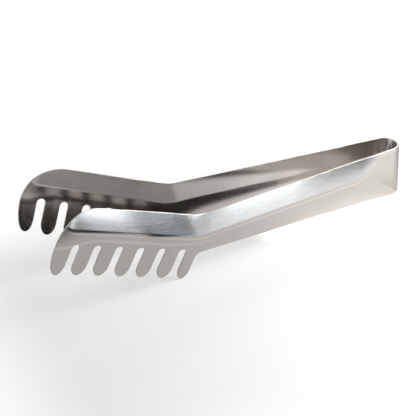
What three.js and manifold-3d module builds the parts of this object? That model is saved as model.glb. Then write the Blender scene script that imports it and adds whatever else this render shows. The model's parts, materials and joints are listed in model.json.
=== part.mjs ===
// One-piece spring tongs for pasta and salad: a strip of stainless sheet bent round a tight bow,
// with two creased arms that crank upwards into seven-toothed combs.
// Millimetres, +Z up. The tongs stand on their last teeth and on the lower rim of the bow.

import * as THREE from 'three';
import { mergeVertices } from 'three/addons/utils/BufferGeometryUtils.js';
import Module from 'manifold-3d';

// Sheet and spring bow
const SHEET = 1.0;
const BOW_RADIUS = 7.3; // to the middle of the sheet
const BOW_WIDTH = 26.0; // height of the strip round the bow
const SPLAY = 6.2; // degrees that each arm stands out from the middle plane
const FLEX_GAP = 0.3; // clearance on the flex line between bow and arm

// Handle, seen from the side
const HANDLE_LENGTH = 114.5; // flex line to the kink of the upper edge
const CRANK_WIDTH = 20.1; // the strip tapers to this at the kink
const CRANK_ANGLE = 20.6; // degrees that the comb rises above the handle's middle line
const CRANK_RADIUS = 14.0; // of the upper edge at the kink
const HEEL_RADIUS = 4.0; // between the handle's lower edge and the last tooth

// Comb, measured along its upper edge from the kink and square to that edge
const TEETH = 7;
const TOOTH_PITCH = 11.8;
const SLOT_WIDTH = 4.2;
const LAST_SLOT = 4.5; // middle of the slot next to the handle
const SLOT_DEPTH = 18.0; // upper edge to the top of the slots
const TIP_DEPTH = 35.2; // upper edge to the tips of the teeth
const TIP_ROUND = 6.0; // length of the rounded end of a tooth
const LAST_TOOTH_WIDTH = 6.3;
const TOE_TOOTH_WIDTH = 8.6; // widest, from its slot to the foremost point of the toe
const TOE_ROUND = 18.5; // length of the rounding from the upper edge into the toe
const TOE_DEPTH = 20.7; // upper edge to the foremost point
const TOE_TIP_WIDTH = 3.2; // rounded tip of the toe tooth, from its slot to the lowest point
const TOE_TIP_PULL = 0.6; // fullness of the toe's curve at the lowest point, as a share of its reach
const TOE_SIDE_PULL = 0.5; // and at the foremost point, as a share of its drop

// Main crease: the flange above it leans inwards, and so does the sheet below it
const CREASE_DEPTH = 10.9; // upper edge to crease
const CREASE_BEND = 1.6; // half width of the bend
const RUN_OUT_START = 8.8; // where the crease leaves the upper edge beside the bow
const RUN_OUT_LENGTH = 14.0; // over which it reaches its full depth
const TOE_CORNER = 12.0; // length over which the crease lifts again at the toe
const TOE_CORNER_LIFT = 2.4;
const FLANGE_LEAN_ROOT = 1.0; // degrees, where the crease starts
const FLANGE_LEAN_CRANK = 8.2;
const FLANGE_LEAN_COMB = 9.8;
const LOWER_LEAN_CRANK = 8.4; // degrees below the crease, growing from the bow
const WEB_LEAN = 1.6; // degrees between the two creases of the comb

// Soft crease along the roots of the teeth
const ROOT_CREASE_DROP = 4.5; // below the main crease
const ROOT_CREASE_BEND = 2.0; // half width of the bend
const ROOT_CREASE_LEAD = 17.0; // it parts from the main crease this far before the kink
const ROOT_CREASE_RUN = 33.0; // and has its full drop after this length
const ROOT_CREASE_TOE_DROP = 5.0; // it drops and fades towards the toe
const TOOTH_LEAN = 12.5; // degrees that the teeth turn inwards
const TOE_TURN_IN = 1.25; // degrees that the comb turns inwards from the handle

// Facets
const ARC_STEP = 15; // degrees per facet on cut outlines
const TOE_STEPS = 8;
const BOW_STEPS = 40;
const HANDLE_STEP = 11.0; // along the formed sheet
const COMB_STEP = 5.5;
const FINE_STEP = 1.4; // where a crease or the crank curves
const SLOPE_STEP = 0.01; // over which the slope of the sheet is measured
const WELD = 1e-4; // points closer than this are one

const STEEL = { color: 0xc9c4be, roughness: 0.28, metalness: 1.0 };

const rad = THREE.MathUtils.degToRad;
const tan = (degrees) => Math.tan(rad(degrees));
const clamp = THREE.MathUtils.clamp;
const smoothstep = THREE.MathUtils.smoothstep;
const lerp = THREE.MathUtils.lerp;

const wasm = await Module();
wasm.setup();

function toSolid(geometry) {
  const bare = geometry.clone();
  bare.deleteAttribute('normal');
  bare.deleteAttribute('uv');
  const merged = mergeVertices(bare, WELD);
  const mesh = new wasm.Mesh({
    numProp: 3,
    vertProperties: new Float32Array(merged.attributes.position.array),
    triVerts: new Uint32Array(merged.index.array),
  });
  return new wasm.Manifold(mesh);
}

function toGeometry(solid) {
  const mesh = solid.getMesh();
  const geometry = new THREE.BufferGeometry();
  geometry.setAttribute('position', new THREE.BufferAttribute(mesh.vertProperties, 3));
  geometry.setIndex(new THREE.BufferAttribute(mesh.triVerts, 1));
  return geometry;
}

// Side view of an arm. x runs from the flex line towards the toe and y is the height above the bow's lower
// rim. The upper edge is two straight runs joined by an arc about CRANK_CENTRE, which lies above the strip.
const TAPER = Math.atan((BOW_WIDTH - CRANK_WIDTH) / 2 / HANDLE_LENGTH);
const CRANK = rad(CRANK_ANGLE);
const KINK = new THREE.Vector2(HANDLE_LENGTH, BOW_WIDTH - HANDLE_LENGTH * Math.tan(TAPER));
const HANDLE_ALONG = new THREE.Vector2(Math.cos(TAPER), -Math.sin(TAPER));
const COMB_ALONG = new THREE.Vector2(Math.cos(CRANK), Math.sin(CRANK));
const COMB_DOWN = new THREE.Vector2(Math.sin(CRANK), -Math.cos(CRANK));
const HANDLE_DOWN = new THREE.Vector2(-Math.sin(TAPER), -Math.cos(TAPER));
const CRANK_TURN = CRANK + TAPER;
const CRANK_TANGENT = CRANK_RADIUS * Math.tan(CRANK_TURN / 2);
const CRANK_CENTRE = KINK.clone().addScaledVector(COMB_ALONG, CRANK_TANGENT)
  .addScaledVector(COMB_DOWN, -CRANK_RADIUS);
const FIRST_SLOT = LAST_SLOT + (TEETH - 2) * TOOTH_PITCH;
const TOE_REACH = FIRST_SLOT + SLOT_WIDTH / 2 + TOE_TOOTH_WIDTH;
const RUN_OUT_FROM = RUN_OUT_START - HANDLE_LENGTH;

// Point of the comb at a distance along its upper edge and a depth below it
function combPoint(along, depth) {
  return KINK.clone().addScaledVector(COMB_ALONG, along).addScaledVector(COMB_DOWN, depth);
}

// Strip coordinates of a point in the side view: the distance along the upper edge from the kink, negative on
// the handle, and the depth below that edge.
function stripCoordinates(x, y) {
  const fromKink = new THREE.Vector2(x, y).sub(KINK);
  const onHandle = fromKink.dot(HANDLE_ALONG);
  const onComb = fromKink.dot(COMB_ALONG);
  if (onHandle <= -CRANK_TANGENT) {
    return { along: onHandle, depth: fromKink.dot(HANDLE_DOWN) };
  }
  if (onComb >= CRANK_TANGENT) {
    return { along: onComb, depth: fromKink.dot(COMB_DOWN) };
  }
  const fromCentre = new THREE.Vector2(x, y).sub(CRANK_CENTRE);
  const across = Math.atan2(fromCentre.dot(COMB_ALONG), fromCentre.dot(COMB_DOWN));
  const share = clamp(1 + across / CRANK_TURN, 0, 1);
  return { along: lerp(-CRANK_TANGENT, CRANK_TANGENT, share), depth: fromCentre.length() - CRANK_RADIUS };
}

// Inverse of stripCoordinates
function sidePoint(along, depth) {
  if (along <= -CRANK_TANGENT) {
    return KINK.clone().addScaledVector(HANDLE_ALONG, along).addScaledVector(HANDLE_DOWN, depth);
  }
  if (along >= CRANK_TANGENT) {
    return combPoint(along, depth);
  }
  const share = (along + CRANK_TANGENT) / (2 * CRANK_TANGENT);
  const turn = CRANK_TURN * (share - 1);
  const out = COMB_DOWN.clone().multiplyScalar(Math.cos(turn)).addScaledVector(COMB_ALONG, Math.sin(turn));
  return CRANK_CENTRE.clone().addScaledVector(out, CRANK_RADIUS + depth);
}

// Crease lines, as depths below the upper edge
function creaseDepth(along) {
  const fromBow = clamp((along - RUN_OUT_FROM) / RUN_OUT_LENGTH, 0, 1);
  const runOut = CREASE_DEPTH * Math.sin(fromBow * Math.PI / 2);
  const corner = smoothstep(along, TOE_REACH - TOE_CORNER, TOE_REACH);
  return runOut - TOE_CORNER_LIFT * corner;
}

// Share of the root crease that has parted from the main one, 0 on the handle and 1 on the comb
function parting(along) {
  return smoothstep(along, -ROOT_CREASE_LEAD, ROOT_CREASE_RUN - ROOT_CREASE_LEAD);
}

function rootCreaseDepth(along) {
  const drop = lerp(CREASE_BEND + ROOT_CREASE_BEND, ROOT_CREASE_DROP, parting(along));
  const toeDrop = ROOT_CREASE_TOE_DROP * smoothstep(along, FIRST_SLOT - TOOTH_PITCH, TOE_REACH);
  return CREASE_DEPTH + drop + toeDrop;
}

// Leans of the flange, the sheet under the main crease and the teeth, as slopes
function leans(along) {
  const handle = clamp(1 - along / RUN_OUT_FROM, 0, 1);
  const comb = smoothstep(along, -CRANK_TANGENT, FIRST_SLOT / 2);
  const web = parting(along);
  const started = smoothstep(along, RUN_OUT_FROM, RUN_OUT_FROM + RUN_OUT_LENGTH);
  const flange = lerp(FLANGE_LEAN_ROOT, FLANGE_LEAN_CRANK, handle) * started;
  return {
    flange: tan(lerp(flange, FLANGE_LEAN_COMB, comb)),
    web: tan(lerp(LOWER_LEAN_CRANK * handle, WEB_LEAN, web)),
    tooth: tan(lerp(LOWER_LEAN_CRANK * handle, TOOTH_LEAN, web)),
  };
}

// Distance past a bend: zero before it, straight after it, a parabola across its width
function fold(past, halfWidth) {
  if (past <= -halfWidth) {
    return 0;
  }
  return past < halfWidth ? (past + halfWidth) ** 2 / (4 * halfWidth) : past;
}

// How far the middle of the formed sheet stands inside the upright plane through the crease
function inset(x, y) {
  const { along, depth } = stripCoordinates(x, y);
  const slopes = leans(along);
  const below = depth - creaseDepth(along);
  const belowRoot = depth - rootCreaseDepth(along);
  const turnIn = Math.max(0, along) * tan(TOE_TURN_IN);
  return slopes.flange * fold(-below, CREASE_BEND) + slopes.web * fold(below, CREASE_BEND)
    + (slopes.tooth - slopes.web) * fold(belowRoot, ROOT_CREASE_BEND) + turnIn;
}

// Point on the outer (side = 1) or inner (side = -1) face, at half a sheet along the surface normal
function facePoint(x, y, side) {
  const slopeX = (inset(x + SLOPE_STEP, y) - inset(x - SLOPE_STEP, y)) / (2 * SLOPE_STEP);
  const slopeY = (inset(x, y + SLOPE_STEP) - inset(x, y - SLOPE_STEP)) / (2 * SLOPE_STEP);
  const out = side * SHEET / 2 * Math.hypot(1, slopeX, slopeY);
  return new THREE.Vector3(-x, out - inset(x, y), y);
}

// Evenly spaced stations of one run, without its end
function stationRun(from, to, step) {
  const count = Math.ceil((to - from) / step);
  return Array.from({ length: count }, (_, i) => lerp(from, to, i / count));
}

// Formed sheet, wider than the arm all round, as a closed grid of stations along the strip and rows across it
function formedSheet() {
  const margin = SHEET;
  const first = -HANDLE_LENGTH - margin;
  const last = TOE_REACH + margin;
  const runOutEnd = RUN_OUT_FROM + RUN_OUT_LENGTH;
  const toeCorner = TOE_REACH - TOE_CORNER;
  const stations = [
    ...stationRun(first, RUN_OUT_FROM, HANDLE_STEP),
    ...stationRun(RUN_OUT_FROM, runOutEnd, FINE_STEP),
    ...stationRun(runOutEnd, -CRANK_TANGENT, HANDLE_STEP),
    ...stationRun(-CRANK_TANGENT, CRANK_TANGENT, FINE_STEP),
    ...stationRun(CRANK_TANGENT, toeCorner, COMB_STEP),
    ...stationRun(toeCorner, last, FINE_STEP),
    last,
  ];

  const rowsAt = (along) => {
    const crease = creaseDepth(along);
    const root = rootCreaseDepth(along);
    const upper = Math.min(-margin, crease - CREASE_BEND - margin);
    return [
      upper, crease - CREASE_BEND, crease - CREASE_BEND / 2, crease, crease + CREASE_BEND / 2,
      crease + CREASE_BEND, root - ROOT_CREASE_BEND / 2, root, root + ROOT_CREASE_BEND,
      TIP_DEPTH + 2 * margin,
    ];
  };

  const rowCount = rowsAt(0).length;
  const positions = [];
  for (const side of [1, -1]) {
    for (const along of stations) {
      for (const depth of rowsAt(along)) {
        const point = sidePoint(along, depth);
        positions.push(...facePoint(point.x, point.y, side).toArray());
      }
    }
  }

  const face = stations.length * rowCount;
  const at = (side, station, row) => (side > 0 ? 0 : face) + station * rowCount + row;
  const index = [];
  const quad = (a, b, c, d) => index.push(a, b, c, a, c, d);
  for (let i = 0; i + 1 < stations.length; i += 1) {
    for (let j = 0; j + 1 < rowCount; j += 1) {
      quad(at(1, i, j), at(1, i, j + 1), at(1, i + 1, j + 1), at(1, i + 1, j));
      quad(at(-1, i, j), at(-1, i + 1, j), at(-1, i + 1, j + 1), at(-1, i, j + 1));
    }
    quad(at(1, i, 0), at(1, i + 1, 0), at(-1, i + 1, 0), at(-1, i, 0));
    const end = rowCount - 1;
    quad(at(1, i, end), at(-1, i, end), at(-1, i + 1, end), at(1, i + 1, end));
  }
  const tail = stations.length - 1;
  for (let j = 0; j + 1 < rowCount; j += 1) {
    quad(at(1, 0, j), at(-1, 0, j), at(-1, 0, j + 1), at(1, 0, j + 1));
    quad(at(1, tail, j), at(1, tail, j + 1), at(-1, tail, j + 1), at(-1, tail, j));
  }
  const geometry = new THREE.BufferGeometry();
  geometry.setAttribute('position', new THREE.Float32BufferAttribute(positions, 3));
  geometry.setIndex(index);
  return geometry;
}

// Points of an arc or ellipse in comb coordinates (along, depth), turned into the side view
function combArc(along, depth, reach, drop, from, to) {
  const steps = Math.max(2, Math.ceil(Math.abs(to - from) / ARC_STEP));
  const curve = new THREE.EllipseCurve(along, depth, reach, drop, rad(from), rad(to), to < from);
  return curve.getPoints(steps).map((point) => combPoint(point.x, point.y));
}

// Arc that rounds the corner between two straight runs
function roundedCorner(before, corner, after, radius) {
  const back = before.clone().sub(corner).normalize();
  const ahead = after.clone().sub(corner).normalize();
  const half = Math.acos(clamp(back.dot(ahead), -1, 1)) / 2;
  const middle = back.clone().add(ahead).normalize();
  const centre = corner.clone().addScaledVector(middle, radius / Math.sin(half));
  const start = corner.clone().addScaledVector(back, radius / Math.tan(half)).sub(centre).angle();
  const end = corner.clone().addScaledVector(ahead, radius / Math.tan(half)).sub(centre).angle();
  const sweep = Math.atan2(Math.sin(end - start), Math.cos(end - start));
  const steps = Math.max(2, Math.ceil(THREE.MathUtils.radToDeg(Math.abs(sweep)) / ARC_STEP));
  const points = [];
  for (let i = 0; i <= steps; i += 1) {
    const angle = start + sweep * i / steps;
    points.push(new THREE.Vector2(radius, 0).rotateAround(new THREE.Vector2(), angle).add(centre));
  }
  return points;
}

// Outline of an arm in the side view, from the lower corner at the flex line round the teeth and the toe
function armOutline() {
  const half = SLOT_WIDTH / 2;
  const slotAt = (slot) => FIRST_SLOT - slot * TOOTH_PITCH;
  const lastSlot = TEETH - 2;
  const heel = slotAt(lastSlot) - half - LAST_TOOTH_WIDTH;
  const root = FLEX_GAP / 2;
  const lowerStart = new THREE.Vector2(root, root * Math.tan(TAPER));
  const lowerEnd = new THREE.Vector2(HANDLE_LENGTH, HANDLE_LENGTH * Math.tan(TAPER));
  const lowerRun = lowerEnd.clone().sub(lowerStart);

  // The handle's lower edge meets the last tooth's straight side at the heel
  const side = combPoint(heel, TIP_DEPTH);
  const reach = (side.clone().sub(lowerStart).cross(COMB_DOWN)) / lowerRun.cross(COMB_DOWN);
  const heelCorner = lowerStart.clone().addScaledVector(lowerRun, reach);

  const points = [lowerStart];
  points.push(...roundedCorner(lowerStart, heelCorner, side, HEEL_RADIUS));
  for (let tooth = TEETH - 1; tooth > 0; tooth -= 1) {
    const nearSide = tooth === TEETH - 1 ? heel : slotAt(tooth) + half;
    const farSide = slotAt(tooth - 1) - half;
    const middle = (nearSide + farSide) / 2;
    points.push(...combArc(middle, TIP_DEPTH - TIP_ROUND, (farSide - nearSide) / 2, TIP_ROUND, 180, 0));
    points.push(...combArc(slotAt(tooth - 1), SLOT_DEPTH + half, half, half, 180, 360));
  }
  const toeTip = slotAt(0) + half + TOE_TIP_WIDTH;
  points.push(...combArc(toeTip, TIP_DEPTH - TIP_ROUND, TOE_TIP_WIDTH, TIP_ROUND, 180, 90));
  const toeSide = new THREE.CubicBezierCurve(
    new THREE.Vector2(toeTip, TIP_DEPTH),
    new THREE.Vector2(lerp(toeTip, TOE_REACH, TOE_TIP_PULL), TIP_DEPTH),
    new THREE.Vector2(TOE_REACH, lerp(TOE_DEPTH, TIP_DEPTH, TOE_SIDE_PULL)),
    new THREE.Vector2(TOE_REACH, TOE_DEPTH),
  );
  points.push(...toeSide.getPoints(TOE_STEPS).map((point) => combPoint(point.x, point.y)));
  points.push(...combArc(TOE_REACH - TOE_ROUND, TOE_DEPTH, TOE_ROUND, TOE_DEPTH, 0, -90));
  const upperEnd = new THREE.Vector2(root, BOW_WIDTH - root * Math.tan(TAPER));
  points.push(...roundedCorner(combPoint(TOE_REACH, 0), KINK, upperEnd, CRANK_RADIUS));
  points.push(upperEnd);
  return points.filter((point, i) => i === 0 || point.distanceTo(points[i - 1]) > WELD);
}

// An arm in its own frame: the flex line is the z axis, the arm runs along -x and its outer face looks to +y
function armGeometry() {
  const blank = new THREE.ExtrudeGeometry(new THREE.Shape(armOutline()), {
    depth: 2 * BOW_WIDTH,
    bevelEnabled: false,
  });
  // Side view (x towards the toe, y up) to arm frame: x turns round, y becomes z
  blank.applyMatrix4(new THREE.Matrix4().makeBasis(
    new THREE.Vector3(-1, 0, 0),
    new THREE.Vector3(0, 0, 1),
    new THREE.Vector3(0, 1, 0),
  ));
  blank.translate(0, -BOW_WIDTH, 0);
  return toGeometry(toSolid(formedSheet()).intersect(toSolid(blank)));
}

function mirrored(geometry) {
  const copy = geometry.clone();
  copy.scale(1, -1, 1);
  const index = Array.from(copy.index.array);
  for (let i = 0; i < index.length; i += 3) {
    [index[i + 1], index[i + 2]] = [index[i + 2], index[i + 1]];
  }
  copy.setIndex(index);
  return copy;
}

// Spring bow: an upright band round the z axis, ending half a clearance short of each flex line
function bowGeometry() {
  const end = Math.PI / 2 - rad(SPLAY) - FLEX_GAP / 2 / BOW_RADIUS;
  const section = new THREE.Shape();
  section.absarc(0, 0, BOW_RADIUS + SHEET / 2, -end, end, false);
  section.absarc(0, 0, BOW_RADIUS - SHEET / 2, end, -end, true);
  return new THREE.ExtrudeGeometry(section, {
    depth: BOW_WIDTH,
    bevelEnabled: false,
    curveSegments: BOW_STEPS,
  });
}

function part(name, geometry) {
  const mesh = new THREE.Mesh(geometry, new THREE.MeshStandardMaterial(STEEL));
  mesh.name = name;
  return mesh;
}

const bow = part('spring_bow', bowGeometry());
const armShape = armGeometry();
const rearArm = part('rear_arm', armShape);
const frontArm = part('front_arm', mirrored(armShape));
const flexLine = new THREE.Vector2(0, BOW_RADIUS).rotateAround(new THREE.Vector2(), -rad(SPLAY));
rearArm.position.set(flexLine.x, flexLine.y, 0);
rearArm.rotation.z = -rad(SPLAY);
frontArm.position.set(flexLine.x, -flexLine.y, 0);
frontArm.rotation.z = rad(SPLAY);

// The bow's lower rim and the lowest teeth stand on one level: the tongs tip about the rim until the teeth touch
const upright = new THREE.Group();
upright.add(bow, rearArm, frontArm);
upright.updateMatrixWorld(true);
const rim = BOW_RADIUS + SHEET / 2;
let stand = 0;
const corner = new THREE.Vector3();
for (let i = 0; i < armShape.attributes.position.count; i += 1) {
  corner.fromBufferAttribute(armShape.attributes.position, i).applyMatrix4(rearArm.matrixWorld);
  stand = Math.max(stand, Math.atan2(-corner.z, rim - corner.x));
}
upright.rotation.y = stand;

// Origin under the middle of the tongs, on the level that they stand on
const tongs = new THREE.Group();
tongs.add(upright);
tongs.updateMatrixWorld(true);
const bounds = new THREE.Box3().setFromObject(tongs, true);
const middle = bounds.getCenter(new THREE.Vector3());
tongs.position.set(-middle.x, -middle.y, -bounds.min.z);

export default tongs;
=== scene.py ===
# Looks of the one-piece spring tongs: the strip as a smooth pressing with rounded edges, in satin and brushed
# steel. Sizes are real ones. Meshes are in metres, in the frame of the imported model.
import json
import math

import bmesh
import bpy
import numpy as np
from mathutils import Matrix, Vector
from mathutils.geometry import delaunay_2d_cdt


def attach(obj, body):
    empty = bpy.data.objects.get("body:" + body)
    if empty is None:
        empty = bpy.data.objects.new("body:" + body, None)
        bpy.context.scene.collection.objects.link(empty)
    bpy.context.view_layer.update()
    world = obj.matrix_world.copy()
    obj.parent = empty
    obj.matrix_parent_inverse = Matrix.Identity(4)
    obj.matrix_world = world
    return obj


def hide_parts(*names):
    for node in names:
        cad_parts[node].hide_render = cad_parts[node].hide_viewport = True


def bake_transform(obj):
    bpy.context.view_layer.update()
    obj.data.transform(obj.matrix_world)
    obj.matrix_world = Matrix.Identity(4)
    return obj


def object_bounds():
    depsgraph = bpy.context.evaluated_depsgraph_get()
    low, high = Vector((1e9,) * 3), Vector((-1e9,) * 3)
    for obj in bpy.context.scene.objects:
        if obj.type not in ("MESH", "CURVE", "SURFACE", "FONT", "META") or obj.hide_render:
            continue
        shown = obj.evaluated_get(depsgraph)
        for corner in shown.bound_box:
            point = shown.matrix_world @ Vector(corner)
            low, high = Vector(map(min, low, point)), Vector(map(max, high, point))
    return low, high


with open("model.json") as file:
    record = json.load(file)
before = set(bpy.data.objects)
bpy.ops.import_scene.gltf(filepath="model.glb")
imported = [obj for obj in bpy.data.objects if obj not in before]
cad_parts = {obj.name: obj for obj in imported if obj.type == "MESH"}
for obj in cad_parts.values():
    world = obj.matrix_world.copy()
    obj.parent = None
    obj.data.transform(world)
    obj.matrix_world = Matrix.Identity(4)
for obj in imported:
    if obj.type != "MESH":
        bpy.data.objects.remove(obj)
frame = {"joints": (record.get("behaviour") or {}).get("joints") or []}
cad_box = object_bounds()

MM = 0.001
DEGREE = math.pi / 180
FAR = 1.0  # metres, further than any piece reaches
REAR, FRONT = 1, -1  # sides of an arm: its outer face looks to +y or to -y

# Sheet and spring bow
SHEET = 1.0 * MM
BOW_WIDTH = 26.0 * MM  # height of the strip round the bow
SPLAY = 6.2 * DEGREE  # of each arm from the middle plane
EDGE_ROUND = 0.16 * MM  # broken edges of the sheet
EDGE_ANGLE = 45 * DEGREE  # faces that turn further than this from the sheet are its cut edges

# Handle, seen from the side
HANDLE_LENGTH = 114.5 * MM  # flex line to the kink of the upper edge
CRANK_WIDTH = 20.1 * MM  # the strip tapers to this at the kink
CRANK_ANGLE = 20.6 * DEGREE  # rise of the comb above the handle's middle line
CRANK_RADIUS = 14.0 * MM  # of the upper edge at the kink
HEEL_RADIUS = 4.0 * MM  # between the handle's lower edge and the last tooth

# Comb, measured along its upper edge from the kink and square to that edge
TEETH = 7
TOOTH_PITCH = 11.8 * MM
SLOT_WIDTH = 4.2 * MM
LAST_SLOT = 4.5 * MM  # middle of the slot next to the handle
SLOT_DEPTH = 18.0 * MM  # upper edge to the top of the slots
TIP_DEPTH = 35.2 * MM  # upper edge to the tips of the teeth
TIP_ROUND = 6.0 * MM  # length of the rounded end of a tooth
LAST_TOOTH_WIDTH = 6.3 * MM
TOE_TOOTH_WIDTH = 8.6 * MM  # widest, from its slot to the foremost point of the toe
TOE_ROUND = 18.5 * MM  # length of the rounding from the upper edge into the toe
TOE_DEPTH = 20.7 * MM  # upper edge to the foremost point
TOE_TIP_WIDTH = 3.2 * MM  # rounded tip of the toe tooth, from its slot to the lowest point
TOE_TIP_PULL = 0.6  # fullness of the toe's curve at the lowest point, as a share of its reach
TOE_SIDE_PULL = 0.5  # and at the foremost point, as a share of its drop
FIRST_SLOT = LAST_SLOT + (TEETH - 2) * TOOTH_PITCH
TOE_REACH = FIRST_SLOT + SLOT_WIDTH / 2 + TOE_TOOTH_WIDTH

# Side view: the upper edge is two straight runs joined by an arc about a centre above the strip
TAPER = math.atan((BOW_WIDTH - CRANK_WIDTH) / 2 / HANDLE_LENGTH)
CRANK_TURN = CRANK_ANGLE + TAPER
CRANK_TANGENT = CRANK_RADIUS * math.tan(CRANK_TURN / 2)
KINK = np.array((HANDLE_LENGTH, BOW_WIDTH - HANDLE_LENGTH * math.tan(TAPER)))
HANDLE_ALONG = np.array((math.cos(TAPER), -math.sin(TAPER)))
HANDLE_DOWN = np.array((-math.sin(TAPER), -math.cos(TAPER)))
COMB_ALONG = np.array((math.cos(CRANK_ANGLE), math.sin(CRANK_ANGLE)))
COMB_DOWN = np.array((math.sin(CRANK_ANGLE), -math.cos(CRANK_ANGLE)))
CRANK_CENTRE = KINK + CRANK_TANGENT * COMB_ALONG - CRANK_RADIUS * COMB_DOWN

# What the press does to the blank: two creases, and the leans of the sheet between and beside them
PRESS = {
    "Run-out from": 8.8 * MM - HANDLE_LENGTH,  # the crease leaves the upper edge here, beside the bow
    "Run-out length": 14.0 * MM,
    "Crease depth": 10.9 * MM,  # upper edge to crease
    "Crease bend": 1.2 * MM,  # half width of the bend
    "Toe reach": TOE_REACH,
    "Toe corner": 7.0 * MM,  # length over which the crease lifts again at the toe
    "Toe corner lift": 2.8 * MM,
    "Flange lean at root": 2.0 * DEGREE,
    "Flange lean at crank": 6.0 * DEGREE,
    "Flange lean at comb": 9.8 * DEGREE,
    "Comb lean run": FIRST_SLOT / 2,  # from the crank to where the comb has its own lean
    "Lower lean at crank": 8.4 * DEGREE,
    "Web lean": 1.6 * DEGREE,  # between the two creases of the comb
    "Tooth lean": 12.5 * DEGREE,
    "Root crease drop": 4.5 * MM,  # below the main crease
    "Root crease bend": 2.0 * MM,
    "Root crease lead": 17.0 * MM,  # it parts from the main crease this far before the kink
    "Root crease run": 33.0 * MM,  # and has its full drop after this length
    "Root crease toe drop": 5.0 * MM,
    "Toe drop from": FIRST_SLOT - TOOTH_PITCH,
    "Crank tangent": CRANK_TANGENT,
    "Toe turn-in": 1.25 * DEGREE,  # of the comb from the handle
}

# Fineness of the meshes
ARC_STEP = 6.0  # degrees
EDGE_STEP = 0.9 * MM
STATION_STEP = 1.3 * MM
ROW_STEP = 1.2 * MM
CREASE_ROWS = 14
ROOT_CREASE_ROWS = 9
TOE_STEPS = 24
BOW_STEPS = 192
ROUND_STEPS = 3
CLOSE_POINTS = 1e-5  # millimetres, points closer than this become one

# Steel
STEEL = (0.6, 0.567, 0.537)
GRAIN_DETAIL, SMUDGE_DETAIL = 4.0, 3.0  # octaves of the noise
SATIN_DARK, SATIN_LIGHT = 0.84, 1.3  # tones of the satin finish, as shares of that colour
SATIN_GRAIN = {"Length": 9.0 * MM, "Width": 0.12 * MM}
SATIN_BLOTCH = 14.0 * MM
# Along the creases the satin's colour is lighter, a painted highlight, and its roughness is lower
SATIN_LIGHTNESS = {"least": 0.06, "smudge": 0.24, "streaks": 0.24, "painted_highlight": 0.36}
SATIN_ROUGHNESS = {"least": 0.1, "smudge": 0.1, "streaks": 0.08, "painted_highlight": -0.06}
INSIDE_PAINTED_SHADE = 0.96  # painted shade: the tones of the inner faces, as a share of the outer ones' tones
INSIDE_DULLNESS = 0.75  # and as a share of their roughness
PAINTED_HIGHLIGHT_LINE = {"Half width": 0.7 * MM, "Lap": 1.3 * MM}  # a line of painted highlight along the main crease; it lies its lap below the middle of the crease
ROOT_PAINTED_HIGHLIGHT_SPREAD = 2.0  # the root crease's line of painted highlight is this much wider
BRUSHED_DARK = (0.57, 0.575, 0.58, 1.0)
BRUSHED_LIGHT = (0.72, 0.72, 0.72, 1.0)
BRUSHED_GRAIN = {"Length": 6.0 * MM, "Width": 0.42 * MM}
BRUSHED_BLOTCH = 20.0 * MM
BRUSHED_LIGHTNESS = {"least": -0.7, "streaks": 2.4}
BRUSHED_ROUGHNESS = {"least": 0.15, "smudge": 0.04, "streaks": 0.08}
BRUSHED_BUMP = 0.0015 * MM
BRUSHED_GAP = 0.6 * MM  # the brushing stops this far above the middle of the crease
BRUSH_TURN = 0.29  # the brushing follows the handle past the kink and has this slope to it at the toe
HIGHLIGHT_TURN = 0.25  # of a full turn: the highlights spread across the brushing
CUT_DARK, CUT_LIGHT = 0.4, 0.9  # tones of the cut edges, as shares of the steel's colour
CUT_GRIT = 0.5 * MM
CUT_ROUGHNESS = {"least": 0.25, "shear": 0.2}
ROUND_OVER = math.tan(7 * DEGREE)  # the belt has turned the flange's outer face this far in at its edge
ROUND_OVER_SHARE = 0.7  # of the flange's width, down from that edge

# Floor: lit by the lamps round the tongs, plain white further out
FLOOR_SIZE = 6.0  # metres
FLOOR_GREY, FLOOR_DULLNESS = 0.9, 0.9
LIT_HALF_LENGTH, LIT_HALF_WIDTH = 100 * MM, 65 * MM
LIT_MIDDLE = -35 * MM  # of the lit floor, in y
LIT_FADE = 60 * MM  # from its border out to plain white
LIT_WHITE = 0.55  # share of plain white in the lit floor
WORLD_RADIANCE = 0.12

# Felt, seen only in the steel, as painted shade: it stands for the dark parts of the room and for shade on
# the floor. Share blacked out, reach, and axis and places of a fade
FELT_GREY = 0.02
FELT_REACH = 25 * MM  # rays shorter than this pass it, so that squeezed arms don't show their cards
FELTS = {
    "black felt": (1.0, FELT_REACH, None),
    "grey felt": (0.4, FELT_REACH, None),
    "thin felt": (0.5, 0.0, None),
    "felt that fades in to the left": (0.25, 0.0, ("X", 60 * MM, -30 * MM)),
    "felt that fades in to the right": (1.0, FELT_REACH, ("X", 55 * MM, 105 * MM)),
    "felt that fades in to the back": (0.5, 0.0, ("Y", -35 * MM, 10 * MM)),
}

# Cards of black felt in the middle of the arms' sheet, seen only in the steel: painted shade in the slots and
# under the arms
CARD_START = 4.0 * MM  # past the flex line
CARD_LAP = 4.0 * MM  # above the top of the slots
CARD_LIFT = 5.1 * MM  # above the floor
CARD_STATIONS, CARD_ROWS = 60, 12

# Panels of felt, seen only in the steel: painted shade. The standing ones darken the room, the lying ones
# darken the floor as the steel sees it. Name, felt, middle, width and height in millimetres, tilt
STANDING, LYING = 90 * DEGREE, 0.0
PANELS = (
    ("low left panel", "black felt", (-210, -100, 17), (480, 34), STANDING),
    ("crank panel", "black felt", (-15, -60, 16), (30, 24), STANDING),
    ("low right panel", "felt that fades in to the right", (180, -52, 15), (240, 30), STANDING),
    ("tall panel", "black felt", (100, -300, 350), (1400, 700), STANDING),
    ("channel sheet", "black felt", (57, 0, 0.2), (38, 24), LYING),
    ("front sheet", "felt that fades in to the left", (-50, -30, 0.1), (240, 140), LYING),
    ("rear handle sheet", "black felt", (31, 21, 0.2), (20, 18), LYING),
    ("comb sheet", "grey felt", (-55, -18, 0.2), (80, 30), LYING),
    ("bow mouth sheet", "thin felt", (84.5, -1.5, 0.3), (13, 9), LYING),
    ("bow sheet", "felt that fades in to the back", (130, 0, 0.2), (70, 80), LYING),
)

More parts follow.
